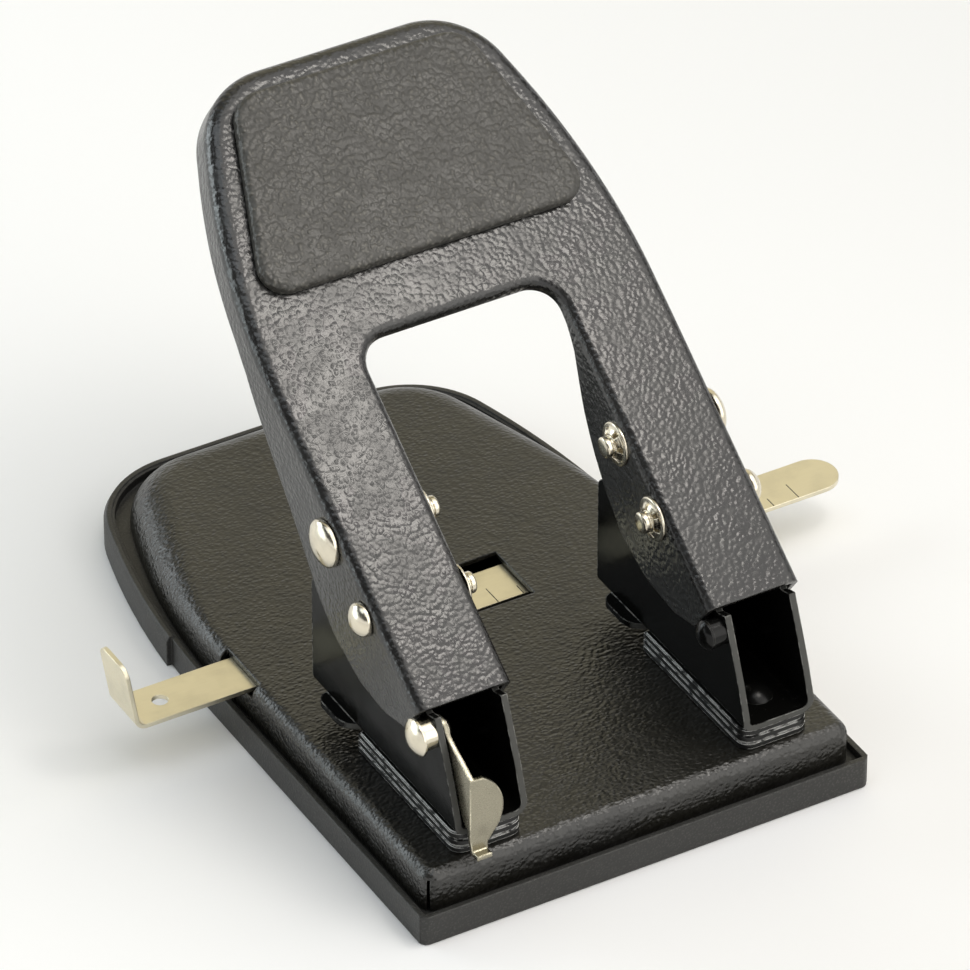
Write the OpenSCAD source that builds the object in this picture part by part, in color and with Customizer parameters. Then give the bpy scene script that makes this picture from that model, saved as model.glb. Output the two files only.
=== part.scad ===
// Two-hole paper punch with a padded lever, a lock-down latch and a sliding paper guide.
// Millimetres, +Z up. The origin lies on the table, midway between the two punches.
// +Y runs from the straight hinge edge to the rounded paper platform under the pad.

/* [Punching] */
// centre distance of the two holes
hole_spacing = 70; // [60:1:90]
// diameter of a punched hole
hole_d = 7; // [5:0.1:8]
// height of the gap that takes the paper
throat_h = 5.4; // [4.8:0.1:7]
// distance from a hole's centre to the paper stop
stop_d = 9.4; // [8:0.1:13]
// angle that the lever turns when it is pressed
press_angle = 30; // [20:1:32]

/* [Chip tray] */
// half width of the tray
tray_hw = 54.7; // [52:0.1:60]
// distance from the punch line to the tray's straight front
tray_front = 56.8; // [52:0.1:64]
// distance from the punch line to the tray's rounded end
tray_rear = 112.3; // [106:0.1:124]
// where the tray's sides start to curve in
tray_bend_y = 38.2; // [20:0.1:60]
// radius of the tray's curved sides
tray_side_r = 212; // [150:1:300]
// radius of the tray's rear corners
tray_corner_r = 22; // [18:0.5:30]
// height of the tray's rim
tray_h = 7.2; // [6:0.1:10]
// height of the ledge that carries the base plate
tray_ledge = 5.2; // [4:0.1:6]
// width of the ledge, with the rim
tray_ledge_w = 6.5; // [5.5:0.1:12]
// thickness of the rim
tray_rim = 1.3; // [1:0.1:1.6]
// thickness of the tray's floor
tray_floor = 1.8; // [1.2:0.1:3]
// how far the grip band at the rounded end stands out
band_out = 1.2; // [0.6:0.1:2]
// where the grip band starts
band_y = 54.3; // [45:0.1:70]

/* [Base plate] */
// how far the plate lies inside the tray's straight sides
base_inset = 2.7; // [2:0.1:3.4]
// how far the plate lies inside the tray's end
rear_inset = 4; // [2:0.1:4.6]
// how far the plate lies behind the tray's straight front
front_inset = 3.2; // [2:0.1:4]
// height of the plate's top above the table
base_top = 15; // [13.5:0.1:17]
// thickness of the pressed sheet
base_t = 1.2; // [0.8:0.1:1.6]
// outer radius of the turned-down edge at the front and along the heads
base_edge_r = 3; // [2:0.1:4]
// outer radius of the turned-down edge round the paper platform
base_rear_r = 7; // [5:0.1:8]
// how far the skirts run into the open front corners
corner_run = 1.2; // [0.4:0.1:1.8]
// width of the viewing window
window_w = 34; // [24:0.5:40]
// depth of the viewing window
window_d = 17; // [14:0.5:20]

/* [Punch heads] */
// half width of a head bracket
head_hw = 8.65; // [8.2:0.05:9]
// thickness of the bracket's sheet
head_t = 1.5; // [1.2:0.1:1.8]
// outer radius of the bracket's bends
head_bend_r = 3; // [2.2:0.1:4]
// distance from the punch line to the bracket's front
head_front = 50.8; // [48:0.1:52]
// distance from the punch line to the bracket's rear
head_rear = 9.8; // [8:0.1:12]
// height of the cheeks at the rear
cheek_rear_z = 50; // [46:0.1:52]
// how far the paper lips stand out beside the cheeks
lip_out = 2.4; // [1:0.1:3]
// number of spacer plates under a bracket
spacer_n = 3; // [2:1:4]
// half width of a spacer plate
spacer_hw = 8.3; // [7:0.1:9]
// outer diameter of the punch guide bush
bush_d = 9.2; // [8.8:0.05:9.4]
// height of the top of the guide bush
bush_top = 36; // [30:0.5:38]
// side length of a die plate
die_w = 18; // [14:0.5:20]
// thickness of a die plate
die_t = 2.2; // [1.5:0.1:3]

/* [Lever] */
// slope of the lever's face at rest
face_angle = 35.4; // [33:0.1:38]
// Y of the lever's lower end
face_y = -40.4; // [-42:0.1:-39]
// Z of the lever's lower end
face_z = 47.4; // [46:0.1:49]
// width of a leg, which stands centred over its punch
leg_w = 22.6; // [22:0.1:24]
// thickness of the pressed sheet
lever_t = 1.5; // [1.2:0.1:1.6]
// outer radius of the bend round the outside
lever_edge_r = 3.6; // [2.4:0.1:4]
// outer radius of the bend round the window
lever_bend_r = 2.2; // [1.8:0.1:3]
// length along the face
lever_len = 144.4; // [138:0.1:152]
// length of the straight sides
lever_straight = 76.2; // [70:0.1:84]
// radius of the curve into the tapered end
lever_side_r = 110; // [80:1:130]
// taper of each side under the pad
lever_taper = 16.8; // [10:0.1:20]
// radius of the upper corners
lever_corner_r = 14.8; // [12:0.1:18]
// distance along the face to the window's upper edge
gap_len = 80.6; // [74:0.1:84]
// radius of the window's corners
gap_corner_r = 7; // [5:0.5:10]
// lower edge of the pad along the face
pad_from = 93.8; // [90:0.1:100]
// upper edge of the pad along the face
pad_to = 138.1; // [130:0.1:140]
// half width of the pad at its lower edge
pad_hw = 40.5; // [36:0.1:41]
// taper of the pad's sides
pad_taper = 16; // [10:0.1:20]
// radius of the pad's lower corners
pad_low_r = 6; // [3:0.1:9]
// radius of the pad's upper corners
pad_top_r = 7.5; // [4:0.1:12]
// thickness of the pad
pad_t = 3; // [2:0.1:4]

/* [Pins] */
// diameter of the pivot and drive pins
pin_d = 4.8; // [4:0.1:5]
// pivot pin: distance along the face
pivot_s = 24; // [21:0.1:26]
// pivot pin: depth under the face
pivot_dep = 5.6; // [5.4:0.1:6.2]
// drive pin: distance along the face
drive_s = 42.3; // [41:0.1:44]
// drive pin: depth under the face
drive_dep = 6.6; // [6.2:0.1:7.2]
// head diameter of the drive pins
drive_head_d = 10.8; // [8:0.1:11]
// head diameter of the pivot pins
pivot_head_d = 7.8; // [7:0.1:10]
// diameter of the push-on nuts
nut_d = 10; // [8:0.1:11]
// thickness of the push-on nuts
nut_t = 0.8; // [0.5:0.1:1.2]
// height of the straight rim under the domed heads
head_rim = 1.2; // [0.6:0.1:1.6]
// how far a pin stands out of its nut
pin_out = 2.6; // [1.5:0.1:3]
// Y of the latch pin
latch_y = -40.9; // [-41.4:0.1:-40.4]
// Z of the latch pin
latch_z = 41.5; // [41:0.1:41.6]
// diameter of the latch pin
latch_pin_d = 4; // [3:0.1:4.1]
// head diameter of the latch pin
latch_head_d = 8.4; // [6:0.1:9]
// head diameter of the stop pin
stop_head_d = 6.6; // [6:0.1:9]

/* [Springs] */
// mean radius of a spring
spring_r = 6.2; // [6.15:0.05:6.25]
// diameter of the spring wire
spring_wire = 1.3; // [1:0.1:1.4]
// number of turns
spring_turns = 6.5; // [4:0.5:8]
// height of the spring seat's lower face
seat_z = 52; // [48:0.5:54]

/* [Paper guide] */
// Y of the guide's centre line
guide_y = 28.9; // [27:0.1:34]
// width of the strip
guide_w = 11.6; // [8:0.1:13]
// thickness of the strip
guide_t = 1; // [0.8:0.1:1.2]
// X of the turned-up end
guide_tab_x = -79.5; // [-90:0.5:-70]
// X of the rounded end
guide_end_x = 98.5; // [70:0.5:105]
// height of the turned-up end above the strip
guide_tab_h = 17.5; // [10:0.5:22]
// how far the turned-up end leans out, in degrees
guide_lean = 9; // [0:0.5:15]
// diameter of the hole in the strip
guide_hole_d = 3.6; // [2:0.1:5]

/* [Clearances] */
// radial clearance of a running fit
fit = 0.05; // [0.03:0.01:0.1]
// clearance between flat faces that slide or rest
rest = 0.1; // [0.05:0.01:0.2]
// clearance between pieces that pass each other
clear = 0.4; // [0.3:0.05:0.5]

/* [Hidden] */
$fn = 48;
big = 400;
hx = hole_spacing / 2;
web_z = base_top + throat_h;
web_top = web_z + head_t;
base_low = base_top - base_t;
base_hw = tray_hw - base_inset;
base_front = tray_front - front_inset;
base_rear = tray_rear - rear_inset;
base_side_r = 0.8 * tray_side_r;
base_corner_r = tray_corner_r - base_inset;
base_flat = base_rear_r + 4;
skirt_z = tray_ledge + rest;
guide_z = base_low - clear - guide_t;
seat_t = 1.5;
// steps of a bend
bend_n = 6;
// overlap of neighbouring pieces of an outline: degrees round a corner, and the step between them
lap = 1;
run_lap = 0.3;
seam = 0.04;
// gap between stacked plates
hairline = 0.06;
// rivets of the heads
rivet_d = 4;
rivet_ys = [-41.7, -21];
// sheet of the latch, and its play beside the cheek
latch_t = 1;
latch_gap = 0.25;
// eye of the latch, its foot's height over the plate, and its tongue's distance from the tray's front
latch_eye_d = latch_pin_d + 2.4;
latch_foot = 2.1;
latch_in = 2.5;
// how far the latch hangs under its pin
latch_drop = latch_z - base_top - latch_foot;
// straps of the paper guide
clip_x = 30;
clip_w = 8;
clip_t = 0.9;
clip_foot = 6;
clip_side = guide_w / 2 + clear + clip_t;
// hole in the guide: distance in from the bend, and off the centre line
guide_hole_in = 9.2;
guide_hole_off = 0.2;
// lever flanges before they are trimmed
lever_drop = 34;
lever_flat = lever_edge_r + 2.8;
// points on the lever's face: s along it, dep under it
function face_pt(s, dep) = [face_y + s * cos(face_angle) + dep * sin(face_angle),
                            face_z + s * sin(face_angle) - dep * cos(face_angle)];
pivot = face_pt(pivot_s, pivot_dep);
drive = face_pt(drive_s, drive_dep);
arm = norm(drive - pivot);
arm_angle = atan2(drive[1] - pivot[1], drive[0] - pivot[0]);
drive_down = pivot + arm * [cos(arm_angle - press_angle), sin(arm_angle - press_angle)];
stroke = drive[1] - drive_down[1];
slot_r = pin_d / 2 + clear;
punch_tip = web_z + 0.5;
punch_rim = 1.3;
// half width across both legs, and half width between them
lever_hw = hx + leg_w / 2;
leg_in = hx - leg_w / 2;
boss_r = pivot_dep - lever_t - clear;
echo(pivot = pivot, drive = drive, arm = arm, arm_angle = arm_angle, stroke = stroke);
echo(ratio_m_per_rad = stroke / 1000 / (press_angle * PI / 180));
echo(spring_gap = (seat_z - web_top - 2 * rest - spring_wire) / spring_turns - spring_wire);

// helpers

module both() {
    children();
    mirror([1, 0, 0]) children();
}

// a profile drawn outward (x) and up (y), run straight: outward heading h, from p, length len
module run(p, h, len) {
    translate([p[0], p[1], 0]) rotate([0, 0, h]) rotate([90, 0, 0]) linear_extrude(len) children();
}

// the same profile run round an arc: centre c, radius r, from angle a0 to a1
module turn(c, r, a0, a1) {
    translate([c[0], c[1], 0]) rotate([0, 0, a0]) rotate_extrude(angle = a1 - a0)
        translate([r, 0]) children();
}

// the same round an inside corner: the profile's outward side faces the centre
module turn_in(c, r, a0, a1) {
    translate([c[0], c[1], 0]) rotate([0, 0, a0]) rotate_extrude(angle = a1 - a0)
        translate([r, 0]) mirror([1, 0]) children();
}

// a polygon in Y and Z, extruded along X from x0 to x1
module side(x0, x1) {
    translate([x0, 0, 0]) rotate([90, 0, 90]) linear_extrude(x1 - x0) children();
}

// sheet with a turned-down edge: outer face at x = 0, top at y = 0
module bent_edge(r, t, flat, drop) {
    polygon(concat([[-flat, 0]], arc([-r, -r], r, 90, 0, bend_n), [[0, -drop], [-t, -drop]],
                   arc([-r, -r], r - t, 0, 90, bend_n), [[-flat, -t]]));
}

// centre of a rear corner, and the angle where it meets the curved side
function corner_c(hw, by, sr, rear, cr) =
    [hw - sr + sqrt((sr - cr) * (sr - cr) - (rear - cr - by) * (rear - cr - by)), rear - cr];
function corner_a(hw, by, sr, rear, cr) =
    let (c = corner_c(hw, by, sr, rear, cr)) atan2(c[1] - by, c[0] - (hw - sr));

// both sides of a D-shaped outline, straight and then curved, from y0 to y1
module d_flanks(hw, by, sr, y0, y1) {
    both() {
        if (y0 < by)
            run([hw, min(y1, by)], 0, min(y1, by) - y0) children();
        if (y1 > by)
            turn([hw - sr, by], sr, asin((max(y0, by) - by) / sr), asin((y1 - by) / sr)) children();
    }
}

// the rest of the outline: the sides from y0 on, the corners and the rounded end;
// the corners overlap their neighbours by a lap and lie in from them by a seam
module d_end(hw, by, sr, y0, rear, cr) {
    c = corner_c(hw, by, sr, rear, cr);
    a = corner_a(hw, by, sr, rear, cr);
    d_flanks(hw, by, sr, y0, by + sr * sin(a)) children();
    both() translate([0, 0, seam / 2]) turn(c, cr - seam, a - lap, 90 + lap) children();
    run([-c[0], rear], 90, 2 * c[0]) children();
}

// half outline as points, set in by i, to fill the middle of a plate
function d_points(hw, front, by, sr, rear, cr, i) =
    let (c = corner_c(hw, by, sr, rear, cr), a = corner_a(hw, by, sr, rear, cr))
    concat([[hw - i, -front + i], [hw - i, by]],
           [for (k = [0.5 : 3.5]) [hw - sr + (sr - i) * cos(a * k / 4), by + (sr - i) * sin(a * k / 4)]],
           [for (k = [1 : 4]) let (b = a + (90 - a) * k / 4) c + (cr - i) * [cos(b), sin(b)]]);
function mirrored(p) = [for (k = [len(p) - 1 : -1 : 0]) [-p[k][0], p[k][1]]];

// a smooth curve through points, four steps a span
function blend(a, b, c, d, t) = 0.5 * (2 * b + (c - a) * t + (2 * a - 5 * b + 4 * c - d) * t * t
                                       + (3 * b - a - 3 * c + d) * t * t * t);
function smooth(p) = concat([for (k = [0 : len(p) - 2]) for (j = [0 : 3])
    blend(p[max(k - 1, 0)], p[k], p[k + 1], p[min(k + 2, len(p) - 1)], j / 4)], [p[len(p) - 1]]);

// rounded corner as points: centre, radius, first and last angle
function arc(c, r, a0, a1, n = 5) =
    [for (k = [0 : n]) let (b = a0 + (a1 - a0) * k / n) c + r * [cos(b), sin(b)]];

// one head's frame
module at_head(sgn) {
    translate([sgn * hx, 0, 0]) children();
}

// the lever's frame: x across, y up the face, z out of it
module on_face() {
    translate([0, face_y, face_z]) rotate([face_angle, 0, 0]) children();
}

// a round along X at a point in Y and Z
module bar(p, d, x0, x1) {
    translate([x0, p[0], p[1]]) rotate([0, 90, 0]) cylinder(d = d, h = x1 - x0);
}

// domed head on a straight rim, flat side at z = 0
module domed(d, rim, h) {
    n = 6;
    r = (d * d / 4 + h * h) / (2 * h);
    a = asin(d / 2 / r);
    rotate_extrude() polygon(concat([[0, 0], [d / 2, 0]], [for (k = [rim > 0 ? 0 : 1 : n])
        let (b = a * (1 - k / n)) [r * sin(b), rim + h - r + r * cos(b)]]));
}

// chip tray

module tray_wall() {
    polygon([[0, 0], [0, tray_h], [-tray_rim, tray_h], [-tray_rim, tray_ledge], [-tray_ledge_w, tray_ledge],
             [-tray_ledge_w, tray_floor], [-tray_ledge_w - 3, tray_floor], [-tray_ledge_w - 3, 0]]);
}

module tray_band() {
    polygon([[-tray_rim / 2, 0], [band_out, 0], [band_out, tray_h - 0.9], [band_out - 0.7, tray_h + 0.4],
             [-tray_rim / 2, tray_h + 0.4]]);
}

module chip_tray() {
    i = tray_ledge_w + 1.5;
    half = d_points(tray_hw, tray_front, tray_bend_y, tray_side_r, tray_rear, tray_corner_r, i);
    color([0.16, 0.16, 0.15]) union() {
        d_end(tray_hw, tray_bend_y, tray_side_r, -tray_front + tray_rim, tray_rear, tray_corner_r)
            tray_wall();
        d_end(tray_hw, tray_bend_y, tray_side_r, band_y, tray_rear, tray_corner_r) tray_band();
        difference() {
            run([tray_hw, -tray_front], -90, 2 * tray_hw) tray_wall();
            both() translate([tray_hw - 2, -tray_front - 1, -1]) difference() {
                cube([3, 3, tray_h + 2]);
                translate([0, 3, 0]) cylinder(r = 2, h = tray_h + 2);
            }
        }
        linear_extrude(tray_floor) polygon(concat(half, mirrored(half)));
    }
}

// base plate

module base_edge(r) {
    translate([0, base_top]) bent_edge(r, base_t, base_flat, base_top - skirt_z);
}

module base_lip() {
    translate([0, base_top]) bent_edge(base_edge_r, base_t, base_edge_r + 0.01, base_top - skirt_z);
}

module base_plate() {
    r = base_edge_r;
    half = d_points(base_hw, base_front, tray_bend_y, base_side_r, base_rear, base_corner_r, base_rear_r + 2);
    color([0.2, 0.19, 0.17]) difference() {
        union() {
            d_flanks(base_hw, tray_bend_y, base_side_r, -base_front + r, guide_y) base_edge(r);
            d_end(base_hw, tray_bend_y, base_side_r, guide_y, base_rear, base_corner_r)
                base_edge(base_rear_r);
            run([base_hw - r, -base_front], -90, 2 * (base_hw - r)) base_edge(r);
            both() {
                run([base_hw, -base_front + r], 0, corner_run) base_lip();
                run([base_hw - r + corner_run, -base_front], -90, corner_run) base_lip();
            }
            translate([0, 0, base_low]) linear_extrude(base_t) polygon(concat(half, mirrored(half)));
        }
        // viewing window, and the notches that let the guide out
        translate([-window_w / 2, guide_y - window_d / 2, base_low - 5]) cube([window_w, window_d, 10]);
        both() translate([base_hw - 5, guide_y - guide_w / 2 - 1.5, guide_z - 0.9])
            cube([10, guide_w + 3, 20]);
        for (sgn = [-1, 1]) at_head(sgn) {
            translate([0, 0, base_low - 1]) cylinder(d = hole_d + 2 * clear, h = base_t + 2);
            head_rivets() translate([0, 0, base_low - 1]) cylinder(d = rivet_d + 2 * fit, h = base_t + 2);
        }
    }
}

// punch heads

module head_rivets() {
    for (y = rivet_ys) translate([0, y, 0]) children();
}

// side view of a bracket
front_edge = [[-head_front, web_z], [-head_front - 0.3, web_z + 3.5], [-head_front + 2.2, 31.5],
              [-head_front + 5.2, 39], [-head_front + 8.2, face_z - 1.2]];
function cheek_shape() = concat(
    front_edge,
    [face_pt(-0.4, lever_t + clear + 0.4), face_pt(pivot_s - 1, lever_t + clear)],
    arc(pivot, boss_r, 90 + face_angle, 65),
    [[head_rear - 4, cheek_rear_z + 0.6]],
    arc([head_rear - 3, cheek_rear_z - 3], 3, 80, 0),
    [[head_rear, web_z + 1.8], [head_rear - 2, web_z + 1.8], [head_rear - 2, web_z]]);

module channel() {
    both() {
        translate([head_hw - head_bend_r, web_z + head_bend_r]) intersection() {
            difference() {
                circle(head_bend_r);
                circle(head_bend_r - head_t);
            }
            translate([0, -head_bend_r]) square(head_bend_r);
        }
        translate([head_hw - head_t, web_z + head_bend_r]) square([head_t, 50]);
    }
    translate([-head_hw + head_bend_r, web_z]) square([2 * (head_hw - head_bend_r), head_t]);
}

// lips that lead the paper into the gap
module lips() {
    w = head_hw + lip_out;
    y0 = -stop_d + 0.3;
    y1 = head_rear - 5.4;
    half = concat([[head_hw - 3.5, y0]],
                  smooth([[head_hw - 1.2, y0], [head_hw + 0.6, y0 + 1.2],
                          [w - 0.6, y0 + 2.6], [w, y0 + 4.6]]),
                  arc([w - 3, y1 - 3], 3, 0, 90), [[head_hw - 3.5, y1]]);
    translate([0, 0, web_z]) linear_extrude(head_t) polygon(concat(half, mirrored(half)));
}

// one bracket; pin_side is the cheek with the third hole
module head_bracket(pin_side) {
    difference() {
        union() {
            intersection() {
                translate([0, head_rear, 0]) rotate([90, 0, 0])
                    linear_extrude(head_front + head_rear + 1) channel();
                side(-20, 20) polygon(cheek_shape());
            }
            lips();
        }
        translate([0, 0, web_z - 1]) cylinder(d = bush_d + 2 * fit, h = head_t + 2);
        head_rivets() translate([0, 0, web_z - 1]) cylinder(d = rivet_d + 2 * fit, h = head_t + 2);
        bar(pivot, pin_d + 2 * fit, -20, 20);
        bar([latch_y, latch_z], latch_pin_d + 2 * fit, pin_side < 0 ? -20 : 0, pin_side < 0 ? 0 : 20);
    }
}

module left_head_bracket() {
    color([0.06, 0.06, 0.06]) at_head(-1) head_bracket(-1);
}

module right_head_bracket() {
    color([0.06, 0.06, 0.06]) at_head(1) head_bracket(-1);
}

// spacer plates, each with a groove along its edges
module spacer_outline(i) {
    w = spacer_hw - i;
    y0 = -head_front + 0.4 + i;
    polygon(concat([[w, -stop_d - i]], arc([w - 3, y0 + 3], 3, 0, -90),
                   arc([-w + 3, y0 + 3], 3, -90, -180), [[-w, -stop_d - i]]));
}

module spacer_plates() {
    pitch = throat_h / spacer_n;
    h = pitch - hairline;
    difference() {
        for (k = [0 : spacer_n - 1]) translate([0, 0, base_top + hairline / 2 + k * pitch]) {
            linear_extrude(h) spacer_outline(0.3);
            translate([0, 0, h * 0.16]) linear_extrude(h * 0.68) spacer_outline(0);
        }
        head_rivets() translate([0, 0, base_top - 1]) cylinder(d = rivet_d + 2 * fit, h = throat_h + 2);
    }
}

module left_spacer_plates() {
    color([0.3, 0.3, 0.29]) at_head(-1) spacer_plates();
}

module right_spacer_plates() {
    color([0.3, 0.3, 0.29]) at_head(1) spacer_plates();
}

module die_plate() {
    difference() {
        translate([-die_w / 2, -die_w / 2 + 1, base_low - die_t]) cube([die_w, die_w - 2, die_t]);
        translate([0, 0, base_low - die_t - 1]) cylinder(d = hole_d + 2 * fit, h = die_t + 2);
    }
}

module left_die_plate() {
    color([0.55, 0.55, 0.55]) at_head(-1) die_plate();
}

module right_die_plate() {
    color([0.55, 0.55, 0.55]) at_head(1) die_plate();
}

module guide_bush() {
    difference() {
        translate([0, 0, web_z]) cylinder(d = bush_d, h = bush_top - web_z);
        translate([0, 0, web_z - 1]) cylinder(d = hole_d + 2 * fit, h = bush_top);
    }
}

module left_guide_bush() {
    color([0.72, 0.58, 0.3]) at_head(-1) guide_bush();
}

module right_guide_bush() {
    color([0.72, 0.58, 0.3]) at_head(1) guide_bush();
}

module bracket_rivets() {
    color([0.08, 0.08, 0.08]) for (sgn = [-1, 1]) at_head(sgn) head_rivets() union() {
        translate([0, 0, web_top]) domed(7.6, 0, 1.9);
        translate([0, 0, base_low - 0.6]) cylinder(d = rivet_d, h = web_top - base_low + 1);
        translate([0, 0, base_low]) mirror([0, 0, 1]) domed(6.4, 0, 1.3);
    }
}

// how far the third pin lies in front of the lever's lower end, along the face
latch_s = (face_y - latch_y) * cos(face_angle) + (face_z - latch_z) * sin(face_angle);

// the third pin of a head: shank through one cheek, a collar outside that stops the lever, a domed head
module shoulder_pin(inner, head) {
    out = lever_hw - hx + clear;
    low = head_hw - head_t - inner;
    translate([0, latch_y, latch_z]) rotate([0, -90, 0]) union() {
        translate([0, 0, low]) cylinder(d = latch_pin_d, h = out - low);
        translate([0, 0, head_hw]) cylinder(r = min(latch_s - clear, head / 2 - 0.2), h = out - head_hw);
        translate([0, 0, out]) domed(head, 0.6, 1.7);
        translate([0, 0, low]) mirror([0, 0, 1]) domed(latch_pin_d + 1.4, 0, 1.5);
    }
}

module latch_pin() {
    color([0.82, 0.8, 0.74]) at_head(-1) shoulder_pin(latch_t + 2 * latch_gap, latch_head_d);
}

module stop_pin() {
    color([0.08, 0.08, 0.08]) at_head(1) shoulder_pin(latch_gap, stop_head_d);
}

// latch: an arm beside the cheek, turned square into a thumb tongue in front of the head;
// its outlines are drawn for a drop of 1 under the pin
module latch_hook() {
    u = latch_drop;
    x0 = -hx - head_hw + head_t + latch_gap;
    y0 = -tray_front + latch_in;
    foot_w = [0.025 * u, 0.168 * u];
    color([0.82, 0.8, 0.74]) difference() {
        union() {
            bar([latch_y, latch_z], latch_eye_d, x0, x0 + latch_t);
            side(x0, x0 + latch_t) translate([0, latch_z]) polygon(concat(
                smooth([[latch_y - 0.025 * u, 0.485 * latch_eye_d], [latch_y - 0.18 * u, 0],
                        [latch_y - 0.369 * u, -0.094 * u], [y0, -0.189 * u]]),
                [[y0, -0.738 * u]],
                smooth([[y0 + 0.102 * u, -0.717 * u], [y0 + 0.266 * u, -0.471 * u],
                        [latch_y + 0.28 * latch_eye_d, -0.406 * latch_eye_d]])));
            translate([x0, y0 + latch_t, latch_z]) rotate([90, 0, 0]) linear_extrude(latch_t) polygon(concat(
                [[0, -0.189 * u]],
                u * smooth([[0.131, -0.197], [0.242, -0.295], [0.311, -0.434], [0.324, -0.574],
                            [0.287, -0.721], [0.221, -0.82], [0.176, -0.885]]),
                [[foot_w[1], -u], [foot_w[0], -u], [0, -0.82 * u]]));
            translate([x0 + foot_w[0], y0 - 2 * latch_t, latch_z - u])
                cube([foot_w[1] - foot_w[0], 3 * latch_t, latch_t]);
        }
        bar([latch_y, latch_z], latch_pin_d + 2 * fit, x0 - 1, x0 + latch_t + 1);
    }
}

// paper guide

// straps under the plate, welded on by their feet
module guide_clips() {
    d = base_low - guide_z + rest + clip_t;
    e = clip_side + clip_foot;
    i = clip_side - clip_t;
    color([0.6, 0.6, 0.6]) for (x = [-clip_x, clip_x]) translate([0, guide_y, base_low])
        side(x - clip_w / 2, x + clip_w / 2)
            polygon([[-e, 0], [-e, -clip_t], [-clip_side, -clip_t], [-clip_side, -d], [clip_side, -d],
                     [clip_side, -clip_t], [e, -clip_t], [e, 0], [i, 0], [i, clip_t - d],
                     [-i, clip_t - d], [-i, 0]]);
}

// the strip, bent up at its left end, rounded at the right
module paper_guide() {
    r = 3;
    w = guide_w;
    up = guide_tab_h - r;
    end = guide_end_x - guide_tab_x - r;
    lean = [-sin(guide_lean), cos(guide_lean)];
    foot = -[cos(guide_lean), sin(guide_lean)];
    color([0.85, 0.81, 0.72]) translate([guide_tab_x + r, guide_y, guide_z + r]) difference() {
        intersection() {
            translate([0, w, 0]) rotate([90, 0, 0]) linear_extrude(2 * w)
                polygon(concat([[end, -r]], arc([0, 0], r, 270, 180 + guide_lean, 8),
                               [r * foot + up * lean, (r - guide_t) * foot + up * lean],
                               arc([0, 0], r - guide_t, 180 + guide_lean, 270, 8), [[end, guide_t - r]]));
            translate([0, 0, -2 * r]) linear_extrude(4 * r + up)
                polygon(concat([[-4 * r, -w / 2]], arc([end - w / 2, 0], w / 2, -90, 90, 18),
                               [[-4 * r, w / 2]]));
        }
        // rounded corners of the turned-up end
        rotate([0, -guide_lean, 0]) for (m = [0, 1]) mirror([0, m, 0]) side(-2 * r, 0)
            polygon(concat([[w, up - r]], arc([w / 2 - r, up - r], r, 0, 90),
                           [[w / 2 - r, up + r], [w, up + r]]));
        translate([guide_hole_in - r, guide_hole_off, -r - 1]) cylinder(d = guide_hole_d, h = guide_t + 2);
    }
}

// lever

taper_a = [lever_hw - lever_side_r * (1 - cos(lever_taper)),
           lever_straight + lever_side_r * sin(lever_taper)];
taper_in = (lever_len - lever_corner_r - taper_a[1]) * sin(lever_taper);
top_c = [taper_a[0] - (lever_corner_r + taper_in) / cos(lever_taper), lever_len - lever_corner_r];
taper_b = top_c + lever_corner_r * [cos(lever_taper), sin(lever_taper)];
taper_len = norm(taper_b - taper_a);
taper_lap = run_lap * [-sin(lever_taper), cos(lever_taper)] - seam * [cos(lever_taper), sin(lever_taper)];
gap_c = [leg_in - gap_corner_r, gap_len - gap_corner_r];

module outer_edge() {
    bent_edge(lever_edge_r, lever_t, lever_flat, lever_drop);
}

module window_edge() {
    bent_edge(lever_bend_r, lever_t, lever_flat, lever_drop);
}

// depth of the outer and the inner flanges along the face
outer_depth = [[-1, 8.6], [0, 9.6], [6, 16], [16, 21.5], [27, 23.4], [37, 22.2], [46, 19.3], [55, 16.8],
               [66, 14.1], [75, 11.6], [83, 9.2], [90, 8], [98, 8.6], [108, 11], [120, 13.5], [133, 14.8],
               [160, 15.4]];
inner_depth = [[-1, 8.6], [0, 9.6], [6, 16], [16, 21.5], [27, 23.4], [37, 21.4], [46, 18.2], [54, 14],
               [60, 9.6], [65, 5.8], [70, 4], [77, 3.4], [160, 3.4]];

module below(depths) {
    p = smooth(depths);
    side(-70, 70) polygon(concat([for (q = p) [q[0], -q[1]]], [[170, -50], [-10, -50]]));
}

module outer_flange() {
    difference() {
        union() {
            both() {
                run([lever_hw, lever_straight], 0, lever_straight) outer_edge();
                turn([lever_hw - lever_side_r, lever_straight], lever_side_r, 0, lever_taper) outer_edge();
                turn(top_c, lever_corner_r, lever_taper, 90) outer_edge();
            }
            // the tapered sides and the end lap the curves and lie in from them by the seam
            translate([0, 0, -seam / 2]) {
                both() run(taper_b + taper_lap, lever_taper, taper_len + 2 * run_lap) outer_edge();
                run([-top_c[0] - run_lap, lever_len - seam], 90, 2 * (top_c[0] + run_lap)) outer_edge();
            }
        }
        below(outer_depth);
    }
}

module inner_flange() {
    difference() {
        union() {
            both() {
                run([leg_in, 0], 180, gap_c[1]) window_edge();
                turn_in(gap_c, gap_corner_r, 0, 90) window_edge();
            }
            run([gap_c[0], gap_len], -90, 2 * gap_c[0]) window_edge();
        }
        below(inner_depth);
    }
}

module face_plate() {
    i = lever_edge_r + 0.4;
    a = lever_taper;
    half = concat([[leg_in + i, 0], [lever_hw - i, 0]],
                  arc([lever_hw - lever_side_r, lever_straight], lever_side_r - i, lap, a - lap, 3),
                  arc(top_c, lever_corner_r - i, a + 3 * lap, 90 - 3 * lap, 4));
    gap = concat([[leg_in + i, 0]], arc(gap_c, gap_corner_r + i, 0, 90, 4));
    translate([0, 0, -lever_t]) linear_extrude(lever_t)
        polygon(concat(half, mirrored(half), [for (k = [1 : len(gap) - 1]) [-gap[k][0], gap[k][1]]],
                       [for (k = [len(gap) - 1 : -1 : 1]) gap[k]]));
}

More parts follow.
